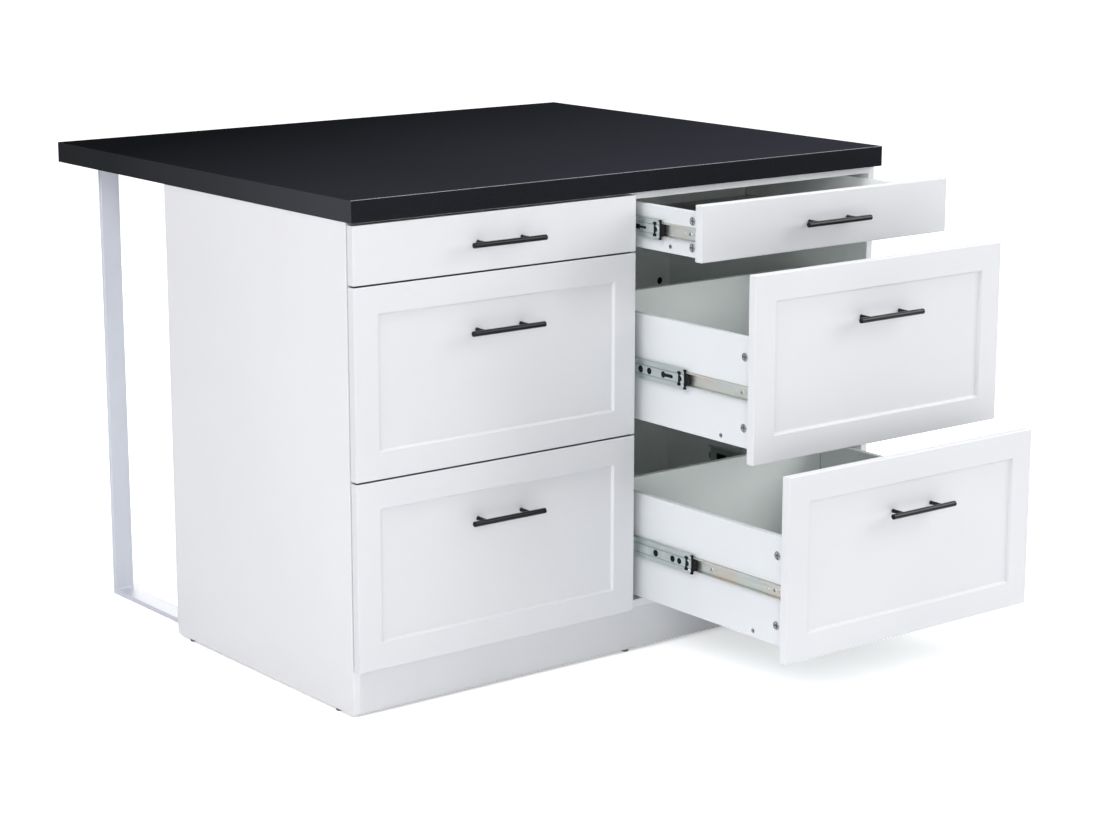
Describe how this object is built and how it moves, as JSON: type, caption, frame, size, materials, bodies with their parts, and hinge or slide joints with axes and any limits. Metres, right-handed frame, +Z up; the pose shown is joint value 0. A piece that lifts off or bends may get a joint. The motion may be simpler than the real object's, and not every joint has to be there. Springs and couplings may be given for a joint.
{
  "type": "kitchen island",
  "caption": "Kitchen island with two columns of drawers on ball-bearing runners, a dark worktop that overhangs as a seating edge, and flat-bar leg loops.",
  "frame": {"origin": "on the floor, under the middle of the bounding box of the stored pose, in which the right-hand drawers stand open", "axes": "+X to the right as seen from the drawer side, +Y towards the seating side, +Z up"},
  "size_m": [1.24, 1.489, 0.914],
  "materials": {
    "worktop_laminate": "matt",
    "carcass_board": "satin",
    "front_board": "satin",
    "drawer_board": "satin",
    "handle_metal": "satin",
    "leg_paint": "satin",
    "runner_steel": "satin",
    "glide_plastic": "matt",
    "runner_plastic": "satin",
    "cam_zinc": "satin"
  },
  "bodies": {
    "carcass": {"worktop": "worktop_laminate", "left_side_panel": "carcass_board", "right_side_panel": "carcass_board", "centre_partition": "carcass_board", "bottom_panel": "carcass_board", "back_panel": "carcass_board", "plinth": "carcass_board", "centre_floor_board": "carcass_board", "left_front_rail": "carcass_board", "left_rear_rail": "carcass_board", "right_front_rail": "carcass_board", "right_rear_rail": "carcass_board", "left_leg_loop": "leg_paint", "left_front_glide": "glide_plastic", "left_rear_glide": "glide_plastic", "right_leg_loop": "leg_paint", "right_front_glide": "glide_plastic", "right_rear_glide": "glide_plastic", "left_bottom_outer_runner_left": "runner_steel", "left_bottom_outer_runner_right": "runner_steel", "left_middle_outer_runner_left": "runner_steel", "left_middle_outer_runner_right": "runner_steel", "left_top_outer_runner_left": "runner_steel", "left_top_outer_runner_right": "runner_steel", "right_bottom_outer_runner_left": "runner_steel", "right_bottom_outer_runner_right": "runner_steel", "right_middle_outer_runner_left": "runner_steel", "right_middle_outer_runner_right": "runner_steel", "right_top_outer_runner_left": "runner_steel", "right_top_outer_runner_right": "runner_steel"},
    "left_bottom_drawer": {"left_bottom_front": "front_board", "left_bottom_drawer_box": "drawer_board", "left_bottom_handle": "handle_metal"},
    "left_bottom_middle_runners": {"left_bottom_middle_runner_left": "runner_steel", "left_bottom_middle_runner_right": "runner_steel"},
    "left_middle_drawer": {"left_middle_front": "front_board", "left_middle_drawer_box": "drawer_board", "left_middle_handle": "handle_metal"},
    "left_middle_middle_runners": {"left_middle_middle_runner_left": "runner_steel", "left_middle_middle_runner_right": "runner_steel"},
    "left_top_drawer": {"left_top_front": "front_board", "left_top_drawer_box": "drawer_board", "left_top_handle": "handle_metal"},
    "left_top_middle_runners": {"left_top_middle_runner_left": "runner_steel", "left_top_middle_runner_right": "runner_steel"},
    "right_bottom_drawer": {"right_bottom_front": "front_board", "right_bottom_drawer_box": "drawer_board", "right_bottom_handle": "handle_metal"},
    "right_bottom_middle_runners": {"right_bottom_middle_runner_left": "runner_steel", "right_bottom_middle_runner_right": "runner_steel"},
    "right_middle_drawer": {"right_middle_front": "front_board", "right_middle_drawer_box": "drawer_board", "right_middle_handle": "handle_metal"},
    "right_middle_middle_runners": {"right_middle_middle_runner_left": "runner_steel", "right_middle_middle_runner_right": "runner_steel"},
    "right_top_drawer": {"right_top_front": "front_board", "right_top_drawer_box": "drawer_board", "right_top_handle": "handle_metal"},
    "right_top_middle_runners": {"right_top_middle_runner_left": "runner_steel", "right_top_middle_runner_right": "runner_steel"}
  },
  "joints": [
    {"name": "left_bottom_slide", "type": "slide", "parent": "carcass", "child": "left_bottom_drawer", "axis": [0, -1, 0], "range_m": [0, 0.45]},
    {"name": "left_bottom_runner_slide", "type": "slide", "parent": "carcass", "child": "left_bottom_middle_runners", "axis": [0, -1, 0], "range_m": [0, 0.225]},
    {"name": "left_middle_slide", "type": "slide", "parent": "carcass", "child": "left_middle_drawer", "axis": [0, -1, 0], "range_m": [0, 0.45]},
    {"name": "left_middle_runner_slide", "type": "slide", "parent": "carcass", "child": "left_middle_middle_runners", "axis": [0, -1, 0], "range_m": [0, 0.225]},
    {"name": "left_top_slide", "type": "slide", "parent": "carcass", "child": "left_top_drawer", "axis": [0, -1, 0], "range_m": [0, 0.45]},
    {"name": "left_top_runner_slide", "type": "slide", "parent": "carcass", "child": "left_top_middle_runners", "axis": [0, -1, 0], "range_m": [0, 0.225]},
    {"name": "right_bottom_slide", "type": "slide", "parent": "carcass", "child": "right_bottom_drawer", "axis": [0, -1, 0], "range_m": [-0.416, 0.034]},
    {"name": "right_bottom_runner_slide", "type": "slide", "parent": "carcass", "child": "right_bottom_middle_runners", "axis": [0, -1, 0], "range_m": [-0.208, 0.017]},
    {"name": "right_middle_slide", "type": "slide", "parent": "carcass", "child": "right_middle_drawer", "axis": [0, -1, 0], "range_m": [-0.322, 0.128]},
    {"name": "right_middle_runner_slide", "type": "slide", "parent": "carcass", "child": "right_middle_middle_runners", "axis": [0, -1, 0], "range_m": [-0.161, 0.064]},
    {"name": "right_top_slide", "type": "slide", "parent": "carcass", "child": "right_top_drawer", "axis": [0, -1, 0], "range_m": [-0.178, 0.272]},
    {"name": "right_top_runner_slide", "type": "slide", "parent": "carcass", "child": "right_top_middle_runners", "axis": [0, -1, 0], "range_m": [-0.089, 0.136]}
  ],
  "couplings": [
    {"joint": "left_bottom_runner_slide", "follows": "left_bottom_slide", "ratio": 0.5},
    {"joint": "left_middle_runner_slide", "follows": "left_middle_slide", "ratio": 0.5},
    {"joint": "left_top_runner_slide", "follows": "left_top_slide", "ratio": 0.5},
    {"joint": "right_bottom_runner_slide", "follows": "right_bottom_slide", "ratio": 0.5},
    {"joint": "right_middle_runner_slide", "follows": "right_middle_slide", "ratio": 0.5},
    {"joint": "right_top_runner_slide", "follows": "right_top_slide", "ratio": 0.5}
  ]
}
